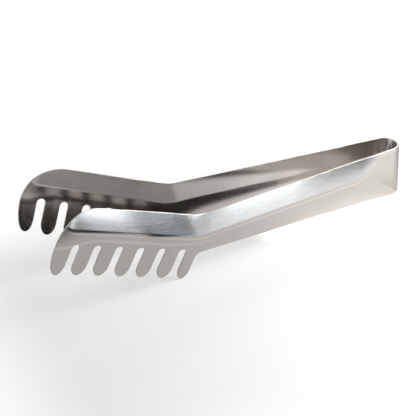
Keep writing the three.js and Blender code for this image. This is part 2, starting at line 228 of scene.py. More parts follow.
# Softboxes: name, place, aim, width and height in millimetres, radiance (1 renders white), colour, spread
COOL, WARM, NEUTRAL = (0.9, 0.96, 1.0), (1.0, 0.98, 0.96), (1.0, 1.0, 1.0)
WIDE, NARROW = 180 * DEGREE, 12 * DEGREE
SOFTBOXES = (
    ("toe softbox", (49, -200, 45), (40, 0, 50), (30, 50), 2.4, COOL, WIDE),
    ("comb softbox", (85, -200, 100), (60, 0, 50), (22, 80), 9.0, COOL, WIDE),
    ("key softbox", (137, -200, 65), (120, 0, 40), (58, 60), 9.0, COOL, WIDE),
    ("side softbox", (310, -140, 180), (80, -50, 0), (200, 200), 17.0, WARM, WIDE),
    ("channel softbox", (52, 0, 200), (52, 1, 0), (50, 14), 10.0, WARM, NARROW),
    ("back softbox", (370, 960, 620), (0, 0, 0), (700, 600), 4.0, NEUTRAL, WIDE),
)

# Where the photograph was taken from
VIEW_AZIMUTH = 20.98 * DEGREE  # turned from +Y towards +X
VIEW_ELEVATION = 30.85 * DEGREE
VIEW_ROLL = -7.26 * DEGREE
VIEW_AIM = Vector((-9.0, 1.66, 22.2)) * MM
VIEW_DISTANCE = 700.5 * MM
PICTURE_WIDTH = 416  # pixels
FOCAL_LENGTH = 1400  # pixels


class Field:
    """A number that varies over a surface: a socket of a node tree. Sums and products add Math nodes."""

    def __init__(self, tree, socket):
        self.tree = tree
        self.socket = socket

    def math(self, operation, *others):
        return math_node(self.tree, operation, self, *others)

    def __add__(self, other):
        return self.math("ADD", other)

    def __radd__(self, other):
        return self.math("ADD", other)

    def __sub__(self, other):
        return self.math("SUBTRACT", other)

    def __rsub__(self, other):
        return math_node(self.tree, "SUBTRACT", other, self)

    def __mul__(self, other):
        return self.math("MULTIPLY", other)

    def __rmul__(self, other):
        return self.math("MULTIPLY", other)

    def __truediv__(self, other):
        return self.math("DIVIDE", other)

    def __neg__(self):
        return self.math("MULTIPLY", -1.0)


def feed(tree, socket, value):
    if isinstance(value, Field):
        tree.links.new(value.socket, socket)
    else:
        socket.default_value = value


def math_node(tree, operation, *values):
    node = tree.nodes.new("ShaderNodeMath")
    node.operation = operation
    for socket, value in zip(node.inputs, values):
        feed(tree, socket, value)
    return Field(tree, node.outputs[0])


# The press's formulas work on numbers, on arrays and on fields of a node tree alike

def clamp(x, low, high):
    if isinstance(x, Field):
        return x.math("MAXIMUM", low).math("MINIMUM", high)
    return np.clip(x, low, high)


def smoothstep(x, low, high):
    if isinstance(x, Field):
        node = x.tree.nodes.new("ShaderNodeMapRange")
        node.interpolation_type = "SMOOTHSTEP"
        for name, value in (("Value", x), ("From Min", low), ("From Max", high)):
            feed(x.tree, node.inputs[name], value)
        return Field(x.tree, node.outputs["Result"])
    share = np.clip((x - low) / (high - low), 0, 1)
    return share * share * (3 - 2 * share)


def sine(x):
    return x.math("SINE") if isinstance(x, Field) else np.sin(x)


def tangent(x):
    return x.math("TANGENT") if isinstance(x, Field) else np.tan(x)


def mix(low, high, share):
    return low + (high - low) * share


def fold(past, half_width):
    """Distance past a bend: zero before it, straight after it, a parabola across its width."""
    bent = clamp(past + half_width, 0, 2 * half_width)
    return bent * bent / (4 * half_width) + clamp(past - half_width, 0, FAR)


def crease_depth(along, press):
    from_bow = clamp((along - press["Run-out from"]) / press["Run-out length"], 0, 1)
    corner = smoothstep(along, press["Toe reach"] - press["Toe corner"], press["Toe reach"])
    return press["Crease depth"] * sine(from_bow * (math.pi / 2)) - press["Toe corner lift"] * corner


def parting(along, press):
    """Share of the root crease that has parted from the main one, 0 on the handle and 1 on the comb."""
    return smoothstep(along, -press["Root crease lead"], press["Root crease run"] - press["Root crease lead"])


def root_crease_depth(along, press):
    merged = press["Crease bend"] + press["Root crease bend"]
    drop = mix(merged, press["Root crease drop"], parting(along, press))
    toe_drop = press["Root crease toe drop"] * smoothstep(along, press["Toe drop from"], press["Toe reach"])
    return press["Crease depth"] + drop + toe_drop


def inset(along, depth, press):
    """How far the middle of the pressed sheet stands inside the upright plane through the crease."""
    handle = clamp(1 - along / press["Run-out from"], 0, 1)
    comb = smoothstep(along, -press["Crank tangent"], press["Comb lean run"])
    web = parting(along, press)
    started = smoothstep(along, press["Run-out from"], press["Run-out from"] + press["Run-out length"])
    on_handle = mix(press["Flange lean at root"], press["Flange lean at crank"], handle) * started
    flange_slope = tangent(mix(on_handle, press["Flange lean at comb"], comb))
    lower_lean = press["Lower lean at crank"] * handle
    web_slope = tangent(mix(lower_lean, press["Web lean"], web))
    tooth_slope = tangent(mix(lower_lean, press["Tooth lean"], web))
    below = depth - crease_depth(along, press)
    below_root = depth - root_crease_depth(along, press)
    turned_in = clamp(along, 0, FAR) * tangent(press["Toe turn-in"])
    return (
        flange_slope * fold(-below, press["Crease bend"])
        + web_slope * fold(below, press["Crease bend"])
        + (tooth_slope - web_slope) * fold(below_root, press["Root crease bend"])
        + turned_in
    )


# Strip coordinates: the distance along the upper edge from the kink, negative on the handle, and the depth
# below that edge

def side_points(along, depth):
    """Places in the side view of points given in strip coordinates."""
    along, depth = along[:, None], depth[:, None]
    on_handle = KINK + along * HANDLE_ALONG + depth * HANDLE_DOWN
    on_comb = KINK + along * COMB_ALONG + depth * COMB_DOWN
    turn = CRANK_TURN * ((along + CRANK_TANGENT) / (2 * CRANK_TANGENT) - 1)
    out = np.cos(turn) * COMB_DOWN + np.sin(turn) * COMB_ALONG
    in_crank = CRANK_CENTRE + (CRANK_RADIUS + depth) * out
    past_handle = np.where(along >= CRANK_TANGENT, on_comb, in_crank)
    return np.where(along <= -CRANK_TANGENT, on_handle, past_handle)


def strip_coordinates(points):
    """Inverse of side_points: (along, depth) of points in the side view."""
    from_kink = points - KINK
    from_centre = points - CRANK_CENTRE
    across = np.arctan2(from_centre @ COMB_ALONG, from_centre @ COMB_DOWN)
    share = np.clip(1 + across / CRANK_TURN, 0, 1)
    on_handle, on_comb = from_kink @ HANDLE_ALONG, from_kink @ COMB_ALONG
    is_handle = on_handle <= -CRANK_TANGENT
    is_comb = ~is_handle & (on_comb >= CRANK_TANGENT)
    along = np.where(is_comb, on_comb, mix(-CRANK_TANGENT, CRANK_TANGENT, share))
    depth = np.where(is_comb, from_kink @ COMB_DOWN, np.linalg.norm(from_centre, axis=1) - CRANK_RADIUS)
    return np.where(is_handle, on_handle, along), np.where(is_handle, from_kink @ HANDLE_DOWN, depth)


def comb_point(along, depth):
    return KINK + along * COMB_ALONG + depth * COMB_DOWN


def comb_arc(along, depth, reach, drop, start, end):
    """Points of an ellipse's arc about a place on the comb, from one angle in degrees to another."""
    count = math.ceil(abs(end - start) / ARC_STEP)
    turns = np.radians(np.linspace(start, end, count + 1))
    return [comb_point(along + reach * math.cos(turn), depth + drop * math.sin(turn)) for turn in turns]


def rounded_corner(before, corner, after, radius):
    """Points of the arc that rounds the corner between two straight runs."""
    back = (before - corner) / np.linalg.norm(before - corner)
    ahead = (after - corner) / np.linalg.norm(after - corner)
    half = math.acos(back @ ahead) / 2
    centre = corner + (back + ahead) / np.linalg.norm(back + ahead) * radius / math.sin(half)
    start = corner + back * radius / math.tan(half) - centre
    end = corner + ahead * radius / math.tan(half) - centre
    first = math.atan2(start[1], start[0])
    sweep = math.atan2(start[0] * end[1] - start[1] * end[0], start @ end)
    count = math.ceil(abs(sweep) / DEGREE / ARC_STEP)
    turns = first + sweep * np.linspace(0, 1, count + 1)
    return [centre + radius * np.array((math.cos(turn), math.sin(turn))) for turn in turns]


def toe_side(toe_tip):
    """Curve from the toe tooth's lowest point to the foremost point of the toe."""
    pull = comb_point(mix(toe_tip, TOE_REACH, TOE_TIP_PULL), TIP_DEPTH)
    rise = comb_point(TOE_REACH, mix(TOE_DEPTH, TIP_DEPTH, TOE_SIDE_PULL))
    start, end = comb_point(toe_tip, TIP_DEPTH), comb_point(TOE_REACH, TOE_DEPTH)
    shares = np.linspace(0, 1, TOE_STEPS + 1)
    return [
        (1 - s) ** 3 * start + 3 * (1 - s) ** 2 * s * pull + 3 * (1 - s) * s * s * rise + s ** 3 * end
        for s in shares
    ]


def arm_outline():
    """Outline of an arm in the side view, from its lower corner at the bow round the teeth and the toe."""
    half = SLOT_WIDTH / 2
    slots = [FIRST_SLOT - slot * TOOTH_PITCH for slot in range(TEETH - 1)]
    heel = slots[-1] - half - LAST_TOOTH_WIDTH
    lower_start = np.array((0.0, 0.0))
    lower_run = np.array((HANDLE_LENGTH, HANDLE_LENGTH * math.tan(TAPER)))
    side = comb_point(heel, TIP_DEPTH)
    to_side = side - lower_start
    reach = (to_side[0] * COMB_DOWN[1] - to_side[1] * COMB_DOWN[0]) / (
        lower_run[0] * COMB_DOWN[1] - lower_run[1] * COMB_DOWN[0])
    points = [lower_start, *rounded_corner(lower_start, lower_start + reach * lower_run, side, HEEL_RADIUS)]
    near_sides = [heel, *(slot + half for slot in reversed(slots[1:]))]
    for near_side, slot in zip(near_sides, reversed(slots)):
        far_side = slot - half
        middle, width = (near_side + far_side) / 2, far_side - near_side
        points += comb_arc(middle, TIP_DEPTH - TIP_ROUND, width / 2, TIP_ROUND, 180, 0)
        points += comb_arc(slot, SLOT_DEPTH + half, half, half, 180, 360)
    toe_tip = FIRST_SLOT + half + TOE_TIP_WIDTH
    points += comb_arc(toe_tip, TIP_DEPTH - TIP_ROUND, TOE_TIP_WIDTH, TIP_ROUND, 180, 90)
    points += toe_side(toe_tip)[1:]
    points += comb_arc(TOE_REACH - TOE_ROUND, TOE_DEPTH, TOE_ROUND, TOE_DEPTH, 0, -90)[1:]
    upper_end = np.array((0.0, BOW_WIDTH))
    points += rounded_corner(comb_point(TOE_REACH, 0), KINK, upper_end, CRANK_RADIUS)
    points.append(upper_end)
    return with_even_steps(np.array(points))


def with_even_steps(outline):
    """The closed outline with its long runs cut into steps."""
    points = []
    for start, end in zip(outline, np.roll(outline, -1, axis=0)):
        count = max(1, math.ceil(np.linalg.norm(end - start) / EDGE_STEP))
        points.extend(start + (end - start) * share for share in np.arange(count) / count)
    return np.array(points)


def strip_rows(along):
    """Depths of the rows of points across the strip at one station, close together across the bends."""
    bend, root_bend = PRESS["Crease bend"], PRESS["Root crease bend"]
    crease_start, crease_end = crease_depth(along, PRESS) + np.array((-bend, bend))
    root_start, root_end = root_crease_depth(along, PRESS) + np.array((-root_bend, root_bend))
    between = np.linspace(crease_end, root_start, 2 + int((root_start - crease_end) / ROW_STEP))
    return np.concatenate((
        np.arange(crease_start - ROW_STEP, 0, -ROW_STEP),
        np.linspace(crease_start, crease_end, CREASE_ROWS + 1),
        between[1:-1],
        np.linspace(root_start, root_end, ROOT_CREASE_ROWS + 1)[1:],
        np.arange(root_end + ROW_STEP, TIP_DEPTH, ROW_STEP),
    ))


def inner_points(outline):
    """Points of the strip's rows that lie inside the outline and well clear of it."""
    count = round((HANDLE_LENGTH + TOE_REACH) / STATION_STEP)
    stations = np.linspace(-HANDLE_LENGTH, TOE_REACH, count + 1)
    rows = [strip_rows(along) for along in stations]
    along = np.concatenate([np.full(len(row), station) for station, row in zip(stations, rows)])
    points = side_points(along, np.concatenate(rows))
    start, run = outline, np.roll(outline, -1, axis=0) - outline
    from_start = points[:, None] - start
    share = np.clip((from_start * run).sum(2) / (run * run).sum(1), 0, 1)
    distance = np.linalg.norm(from_start - share[..., None] * run, axis=2).min(1)
    y, y0, y1 = points[:, 1, None], start[:, 1], start[:, 1] + run[:, 1]
    crosses = (y0 > y) != (y1 > y)
    x = start[:, 0] + run[:, 0] * (y - y0) / np.where(crosses, run[:, 1], 1)
    inside = (crosses & (points[:, 0, None] < x)).sum(1) % 2 == 1
    return points[inside & (distance > EDGE_STEP / 2)]


def arm_blank(name, side):
    """The flat blank of an arm, filled with points where the press bends it."""
    outline = arm_outline()
    points = [Vector(point) for point in np.concatenate((outline, inner_points(outline))) / MM]
    ring = [(i, (i + 1) % len(outline)) for i in range(len(outline))]
    inside_only = 1
    found, _, faces, *_ = delaunay_2d_cdt(points, ring, [], inside_only, CLOSE_POINTS)
    flat = np.array(found) * MM
    mesh = bpy.data.meshes.new(name)
    corners = [face if side == REAR else face[::-1] for face in faces]
    mesh.from_pydata([(-x, 0.0, y) for x, y in flat], [], corners)
    for attribute, values in zip(("along", "depth"), strip_coordinates(flat)):
        mesh.attributes.new(attribute, "FLOAT", "POINT").data.foreach_set("value", values.astype(np.float32))
    return mesh


def new_object(name, data):
    piece = bpy.data.objects.new(name, data)
    bpy.context.scene.collection.objects.link(piece)
    return piece


# Geometry Nodes

def tree_with_inputs(name, geometry_in, sizes):
    """A Geometry Nodes tree, its input node and a field for each named size."""
    tree = bpy.data.node_groups.new(name, "GeometryNodeTree")
    if geometry_in:
        tree.interface.new_socket(geometry_in, in_out="INPUT", socket_type="NodeSocketGeometry")
    for size in sizes:
        tree.interface.new_socket(size, in_out="INPUT", socket_type="NodeSocketFloat")
    tree.interface.new_socket("Geometry", in_out="OUTPUT", socket_type="NodeSocketGeometry")
    start = tree.nodes.new("NodeGroupInput")
    return tree, start, {size: Field(tree, start.outputs[size]) for size in sizes}


def end_tree(tree, geometry, material):
    """Realizes instances, sets the material and puts the geometry out."""
    realize = tree.nodes.new("GeometryNodeRealizeInstances")
    paint = tree.nodes.new("GeometryNodeSetMaterial")
    paint.inputs["Material"].default_value = material
    end = tree.nodes.new("NodeGroupOutput")
    tree.links.new(geometry, realize.inputs["Geometry"])
    tree.links.new(realize.outputs["Geometry"], paint.inputs["Geometry"])
    tree.links.new(paint.outputs["Geometry"], end.inputs["Geometry"])


def add_tree(piece, tree, sizes):
    modifier = piece.modifiers.new(tree.name, "NODES")
    modifier.node_group = tree
    for item in tree.interface.items_tree:
        if item.in_out == "INPUT" and item.name in sizes:
            modifier[item.identifier] = sizes[item.name]


def press_tree(material):
    """Presses a flat blank: every point moves inwards as its place along and across the strip asks."""
    tree, start, press = tree_with_inputs("press", "Blank", [*PRESS, "Inwards"])
    place = {}
    for name in ("along", "depth"):
        node = tree.nodes.new("GeometryNodeInputNamedAttribute")
        node.data_type = "FLOAT"
        node.inputs["Name"].default_value = name
        place[name] = Field(tree, node.outputs["Attribute"])
    move = tree.nodes.new("ShaderNodeCombineXYZ")
    feed(tree, move.inputs["Y"], press["Inwards"] * inset(place["along"], place["depth"], press))
    form = tree.nodes.new("GeometryNodeSetPosition")
    tree.links.new(start.outputs["Blank"], form.inputs["Geometry"])
    tree.links.new(move.outputs["Vector"], form.inputs["Offset"])
    end_tree(tree, form.outputs["Geometry"], material)
    return tree


def band_tree(material):
    """Sweeps the strip's section, with its broken edges, round the arc of the bow."""
    sizes = ("Radius", "Start", "Sweep", "Sheet", "Width", "Edge round")
    tree, _, size = tree_with_inputs("bent band", None, sizes)
    arc = tree.nodes.new("GeometryNodeCurveArc")
    arc.inputs["Resolution"].default_value = BOW_STEPS + 1
    for name, field in (("Radius", "Radius"), ("Start Angle", "Start"), ("Sweep Angle", "Sweep")):
        feed(tree, arc.inputs[name], size[field])
    upright = tree.nodes.new("GeometryNodeSetCurveNormal")
    upright.mode = "Z_UP"
    section = tree.nodes.new("GeometryNodeCurvePrimitiveQuadrilateral")
    feed(tree, section.inputs["Width"], size["Sheet"])
    feed(tree, section.inputs["Height"], size["Width"])
    rounded = tree.nodes.new("GeometryNodeFilletCurve")
    rounded.mode = "POLY"
    rounded.inputs["Count"].default_value = ROUND_STEPS
    feed(tree, rounded.inputs["Radius"], size["Edge round"])
    sweep = tree.nodes.new("GeometryNodeCurveToMesh")
    sweep.inputs["Fill Caps"].default_value = True
    tree.links.new(arc.outputs["Curve"], upright.inputs["Curve"])
    tree.links.new(upright.outputs["Curve"], sweep.inputs["Curve"])
    tree.links.new(section.outputs["Curve"], rounded.inputs["Curve"])
    tree.links.new(rounded.outputs["Curve"], sweep.inputs["Profile Curve"])
    end_tree(tree, sweep.outputs["Mesh"], material)
    return tree


def apply_modifiers(piece):
    """Turns what the modifiers make into the piece's plain mesh."""
    depsgraph = bpy.context.evaluated_depsgraph_get()
    made = bpy.data.meshes.new_from_object(piece.evaluated_get(depsgraph))
    made.name = piece.name
    piece.modifiers.clear()
    piece.data = made


# Materials

def new_material(name):
    material = bpy.data.materials.new(name)
    material.use_nodes = True
    tree = material.node_tree
    return material, tree, tree.nodes["Principled BSDF"]


def new_steel(name):
    material, tree, bsdf = new_material(name)
    bsdf.inputs["Metallic"].default_value = 1.0
    return material, tree, bsdf


def new_matt(name, grey, dullness):
    """A material without any shine."""
    material, tree, bsdf = new_material(name)
    bsdf.inputs["Base Color"].default_value = (grey, grey, grey, 1.0)
    bsdf.inputs["Roughness"].default_value = dullness
    bsdf.inputs["Specular IOR Level"].default_value = 0.0
    return material, tree, bsdf


def blend_shaders(tree, first, second, share):
    """The material's surface: the first shader where share is 0, the second where it is 1."""
    blend = tree.nodes.new("ShaderNodeMixShader")
    feed(tree, blend.inputs["Fac"], share)
    tree.links.new(first, blend.inputs[1])
    tree.links.new(second, blend.inputs[2])
    tree.links.new(blend.outputs["Shader"], tree.nodes["Material Output"].inputs["Surface"])


def split_place(tree, place):
    """Fields of the parts of a place, by axis."""
    split = tree.nodes.new("ShaderNodeSeparateXYZ")
    tree.links.new(place, split.inputs["Vector"])
    return {axis: Field(tree, split.outputs[axis]) for axis in "XYZ"}


def object_place(tree):
    return split_place(tree, tree.nodes.new("ShaderNodeTexCoord").outputs["Object"])


def map_place(tree, name):
    """Fields of the two parts of a UV map."""
    place = tree.nodes.new("ShaderNodeUVMap")
    place.uv_map = name
    parts = split_place(tree, place.outputs["UV"])
    return parts["X"], parts["Y"]


def background_rays(tree):
    """1 for the rays that see the background, straight or in steel and glass, and 0 for the others."""
    rays = tree.nodes.new("ShaderNodeLightPath")
    kinds = ("Is Camera Ray", "Is Glossy Ray", "Is Transmission Ray")
    camera, glossy, through = (Field(tree, rays.outputs[kind]) for kind in kinds)
    return clamp(camera + glossy + through, 0.0, 1.0)


def noise(tree, x, y, z, detail):
    """Noise over a place whose parts are already divided by the size of the pattern."""
    place = tree.nodes.new("ShaderNodeCombineXYZ")
    for socket, value in zip(place.inputs, (x, y, z)):
        feed(tree, socket, value)
    texture = tree.nodes.new("ShaderNodeTexNoise")
    texture.inputs["Scale"].default_value = 1.0
    texture.inputs["Detail"].default_value = detail
    tree.links.new(place.outputs["Vector"], texture.inputs["Vector"])
    return Field(tree, texture.outputs["Fac"])


def new_group(name, sizes, effect):
    """A shader node group: its tree, a field for each named size and the socket that puts the effect out."""
    tree = bpy.data.node_groups.new(name, "ShaderNodeTree")
    for size in sizes:
        tree.interface.new_socket(size, in_out="INPUT", socket_type="NodeSocketFloat")
    tree.interface.new_socket(effect, in_out="OUTPUT", socket_type="NodeSocketFloat")
    start = tree.nodes.new("NodeGroupInput")
    end = tree.nodes.new("NodeGroupOutput")
    return tree, {size: Field(tree, start.outputs[size]) for size in sizes}, end.inputs[effect]


def effect_of(group, tree, sizes):
    """Places a node group in a material and gives the field that it puts out."""
    node = tree.nodes.new("ShaderNodeGroup")
    node.node_tree = group
    for name, value in sizes.items():
        feed(tree, node.inputs[name], value)
    return Field(tree, node.outputs[0])


def grain_group():
    """Streaks that run along the strip, as the belt or the rolls left them."""
    tree, size, streaks = new_group("grain", ("Length", "Width"), "Streaks")
    along, depth = map_place(tree, "brush")
    feed(tree, streaks, noise(tree, along / size["Length"], depth / size["Width"], 0.0, GRAIN_DETAIL))
    return tree


def handling_group():
    """Blotches of wiping and handling."""
    tree, size, smudge = new_group("handling", ("Size",), "Smudge")
    x, y, z = (part / size["Size"] for part in object_place(tree).values())
    feed(tree, smudge, noise(tree, x, y, z, SMUDGE_DETAIL))
    return tree


def ridge(distance, half_width):
    """1 on a line and 0 from half_width away from it."""
    return 1.0 - smoothstep(distance.math("ABSOLUTE"), 0.0, half_width)


def painted_crease_highlight_group():
    """Lines along the ridges of the two creases, where the satin's colour is made lighter as a painted
    highlight and its roughness lower.
    """
    tree, size, painted_highlight = new_group("painted crease highlight", ("Half width", "Lap"), "Painted highlight")
    along, depth = map_place(tree, "strip")
    main = ridge(depth - crease_depth(along, PRESS) - size["Lap"], size["Half width"])
    root = ridge(depth - root_crease_depth(along, PRESS), size["Half width"] * ROOT_PAINTED_HIGHLIGHT_SPREAD)
    feed(tree, painted_highlight, clamp(main + root * parting(along, PRESS), 0.0, 1.0))
    return tree


def tinted(tree, bsdf, dark, light, share):
    """Base colour that a field moves between two tones."""
    tint = tree.nodes.new("ShaderNodeMix")
    tint.data_type = "RGBA"
    tint.inputs["A"].default_value = dark
    tint.inputs["B"].default_value = light
    feed(tree, tint.inputs["Factor"], share)
    tree.links.new(tint.outputs["Result"], bsdf.inputs["Base Color"])


def bump(tree, bsdf, height, distance):
    node = tree.nodes.new("ShaderNodeBump")
    node.inputs["Distance"].default_value = distance
    feed(tree, node.inputs["Height"], height)
    tree.links.new(node.outputs["Normal"], bsdf.inputs["Normal"])


def tone(share):
    """The steel's colour, made darker or lighter."""
    return (*(share * part for part in STEEL), 1.0)


def weighed(weights, effects):
    """The least value plus each effect times its weight."""
    total = weights["least"]
    for name, effect in effects.items():
        total = total + weights[name] * effect
    return total


def satin_steel(name, painted_shade, dullness, grain, handling, painted_crease_highlight=None):
    material, tree, bsdf = new_steel(name)
    smudge = effect_of(handling, tree, {"Size": SATIN_BLOTCH})
    effects = {"smudge": smudge, "streaks": effect_of(grain, tree, SATIN_GRAIN)}
    # painted highlight along the creases: lighter colour and less roughness there
    if painted_crease_highlight:
        effects["painted_highlight"] = effect_of(painted_crease_highlight, tree, PAINTED_HIGHLIGHT_LINE)
    lightness = clamp(weighed(SATIN_LIGHTNESS, effects), 0.0, 1.0)
    # a share below 1 darkens the tones: painted shade on the inner faces
    tinted(tree, bsdf, tone(SATIN_DARK * painted_shade), tone(SATIN_LIGHT * painted_shade), lightness)
    feed(tree, bsdf.inputs["Roughness"], dullness * weighed(SATIN_ROUGHNESS, effects))
    return material


def brushed_steel(name, grain, handling):
    material, tree, bsdf = new_steel(name)
    bsdf.inputs["Anisotropic"].default_value = 1.0
    bsdf.inputs["Anisotropic Rotation"].default_value = HIGHLIGHT_TURN
    across = tree.nodes.new("ShaderNodeTangent")
    across.direction_type = "UV_MAP"
    across.uv_map = "brush"
    tree.links.new(across.outputs["Tangent"], bsdf.inputs["Tangent"])
    streaks = effect_of(grain, tree, BRUSHED_GRAIN)
    smudge = effect_of(handling, tree, {"Size": BRUSHED_BLOTCH})
    lightness = clamp(weighed(BRUSHED_LIGHTNESS, {"streaks": streaks}), 0.0, 1.0)
    tinted(tree, bsdf, BRUSHED_DARK, BRUSHED_LIGHT, lightness)
    roughness = weighed(BRUSHED_ROUGHNESS, {"smudge": smudge, "streaks": streaks})
    feed(tree, bsdf.inputs["Roughness"], roughness)
    bump(tree, bsdf, streaks, BRUSHED_BUMP)
    return material


def cut_steel(name, handling):
    material, tree, bsdf = new_steel(name)
    shear = effect_of(handling, tree, {"Size": CUT_GRIT})
    tinted(tree, bsdf, tone(CUT_DARK), tone(CUT_LIGHT), shear)
    feed(tree, bsdf.inputs["Roughness"], weighed(CUT_ROUGHNESS, {"shear": shear}))
    return material


grain, handling, painted_crease_highlight = grain_group(), handling_group(), painted_crease_highlight_group()
# The inner faces: the satin darkened as painted shade, and less rough
satin_inside = satin_steel("satin steel inside", INSIDE_PAINTED_SHADE, INSIDE_DULLNESS, grain, handling)
# the outer satin carries the painted highlight along the creases
satin_outside = satin_steel("satin steel outside", 1.0, 1.0, grain, handling, painted_crease_highlight)
brushed = brushed_steel("brushed steel", grain, handling)
cut_edge = cut_steel("cut steel edge", handling)
FINISHES = (satin_inside, satin_outside, brushed, cut_edge)
INNER, OUTER, BRUSHED, CUT = range(len(FINISHES))


# The pieces

def set_maps(mesh, along, depth):
    """UV maps of a point's place along and across the strip, and along and across its brushing."""
    corners = np.zeros(len(mesh.loops), np.int32)
    mesh.loops.foreach_get("vertex_index", corners)
    ahead, down = ((side_points(along, depth) - KINK) @ axis for axis in (HANDLE_ALONG, HANDLE_DOWN))
    down = down + BRUSH_TURN * np.maximum(ahead, 0) ** 2 / (2 * TOE_REACH)
    for name, place in (("strip", (along, depth)), ("brush", (ahead, down))):
        layer = mesh.uv_layers.new(name=name)
        layer.uv.foreach_set("vector", np.column_stack(place)[corners].astype(np.float32).ravel())


def point_values(mesh, name):
    values = np.zeros(len(mesh.vertices), np.float32)
    mesh.attributes[name].data.foreach_get("value", values)
    return values


def grind_flange(mesh, side):
    """Rounds the outer face over towards the upper edge, as a grinding belt does."""
    along, depth = point_values(mesh, "along"), point_values(mesh, "depth")
    above = np.clip(ROUND_OVER_SHARE * crease_depth(along, PRESS) - depth, 0, None)
    ground = ROUND_OVER * above ** 2 / (2 * ROUND_OVER_SHARE * PRESS["Crease depth"])
    places, normals = (np.zeros(3 * len(mesh.vertices), np.float32) for _ in range(2))
    mesh.vertices.foreach_get("co", places)
    mesh.vertices.foreach_get("normal", normals)
    places[1::3] -= np.where(normals[1::3] * side > 0, side * ground, 0)
    mesh.vertices.foreach_set("co", places)


def mark_edges(mesh, is_end):
    """Marks the sheet's right-angled edges to be rounded. Those where is_end is true stay sharp."""
    form = bmesh.new()
    form.from_mesh(mesh)
    weight = form.edges.layers.float.new("bevel_weight_edge")
    for edge in form.edges:
        if len(edge.link_faces) == 2 and edge.calc_face_angle() > EDGE_ANGLE:
            if all(is_end(point.co) for point in edge.verts):
                edge.smooth = False
            else:
                edge[weight] = 1.0
    for face in form.faces:
        face.smooth = True
    form.to_mesh(mesh)
    form.free()


def paint_faces(mesh, choose):
    """Gives each face the finish that choose(face, middle of its strip map) names."""
    mesh.materials.clear()
    for material in FINISHES:
        mesh.materials.append(material)
    strip = mesh.uv_layers["strip"].uv
    for face in mesh.polygons:
        places = [strip[corner].vector for corner in face.loop_indices]
        face.material_index = choose(face, sum(places, Vector((0, 0))) / len(places))


def arm_piece(name, side, place, press):
    """An arm: blank, press, thickness, ground flange, broken edges."""
    piece = new_object(name, arm_blank(name, side))
    add_tree(piece, press, {**PRESS, "Inwards": -float(side)})
    sheet = piece.modifiers.new("sheet", "SOLIDIFY")
    sheet.thickness = SHEET
    sheet.offset = 0.0
    sheet.use_even_offset = True
    apply_modifiers(piece)
    grind_flange(piece.data, side)
    set_maps(piece.data, point_values(piece.data, "along"), point_values(piece.data, "depth"))
    mark_edges(piece.data, lambda point: point.x > -EDGE_ROUND / 2)
    edges = piece.modifiers.new("broken edges", "BEVEL")
    edges.limit_method = "WEIGHT"
    edges.width = EDGE_ROUND
    edges.segments = ROUND_STEPS
    edges.use_clamp_overlap = False
    edges.harden_normals = True
    apply_modifiers(piece)

    def finish_of(face, strip):
        if abs(face.normal.y) < math.cos(EDGE_ANGLE):
            return CUT
        if face.normal.y * side < 0:
            return INNER
        return BRUSHED if strip.y < crease_depth(strip.x, PRESS) - BRUSHED_GAP else OUTER

    paint_faces(piece.data, finish_of)
    piece.data.transform(place)
    return piece


def bow_piece(name, radius, place, band):
    """The spring bow: the strip's section swept round the bend."""
    piece = new_object(name, bpy.data.meshes.new(name))
    half_turn = math.pi / 2 - SPLAY
    sizes = {"Radius": radius, "Start": -half_turn, "Sweep": 2 * half_turn}
    sizes.update({"Sheet": SHEET, "Width": BOW_WIDTH, "Edge round": EDGE_ROUND})
    add_tree(piece, band, sizes)
    apply_modifiers(piece)
    piece.data.transform(Matrix.Translation((0, 0, BOW_WIDTH / 2)))
    points = np.array([point.co for point in piece.data.vertices])
    turn = half_turn - np.arctan2(points[:, 1], points[:, 0])
    set_maps(piece.data, -HANDLE_LENGTH - radius * turn, BOW_WIDTH - points[:, 2])
    for face in piece.data.polygons:
        face.use_smooth = True
    even = piece.modifiers.new("even shading", "WEIGHTED_NORMAL")
    even.keep_sharp = True
    apply_modifiers(piece)

    def finish_of(face, _):
        if abs(face.normal.z) > math.sin(EDGE_ANGLE):
            return CUT
        return OUTER if face.normal.dot(face.center) > 0 else INNER

    paint_faces(piece.data, finish_of)
    piece.data.transform(place)
    return piece


hinges = {joint["child"]: joint for joint in frame["joints"]}
rear_foot, front_foot = (Vector(hinges[body]["pos_m"]) for body in ("rear", "front"))
upward = Vector(hinges["rear"]["axis"]).normalized()
sideways = Vector((0, 1, 0))
forward = sideways.cross(upward)
upright = Matrix((forward, sideways, upward)).transposed().to_4x4()
bow_radius = (rear_foot - front_foot).length / 2 / math.cos(SPLAY)
bow_foot = (rear_foot + front_foot) / 2 - forward * bow_radius * math.sin(SPLAY)
press, band = press_tree(satin_outside), band_tree(satin_outside)
bow = bow_piece("bow", bow_radius, Matrix.Translation(bow_foot) @ upright, band)
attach(bow, "bow")
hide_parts("spring_bow")
places = {}
for body, side, foot in (("rear", REAR, rear_foot), ("front", FRONT, front_foot)):
    place = Matrix.Translation(foot) @ upright @ Matrix.Rotation(-side * SPLAY, 4, "Z")
    arm = arm_piece(body + "_comb_arm", side, place, press)
    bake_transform(arm)
    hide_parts(body + "_arm")
    places[side] = place


# Floor, light and camera

def add_plane(name, material, middle, width, height, tilt):
    """A flat rectangle about its middle. Tilt turns it up from lying flat."""
    mesh = bpy.data.meshes.new(name)
    corners = ((-0.5, -0.5, 0.0), (0.5, -0.5, 0.0), (0.5, 0.5, 0.0), (-0.5, 0.5, 0.0))
    mesh.from_pydata(corners, [], [range(len(corners))])
    size = Matrix.Diagonal((width, height, 1.0, 1.0))
    mesh.transform(Matrix.Translation(middle) @ Matrix.Rotation(tilt, 4, "X") @ size)
    mesh.materials.append(material)
    return new_object(name, mesh)


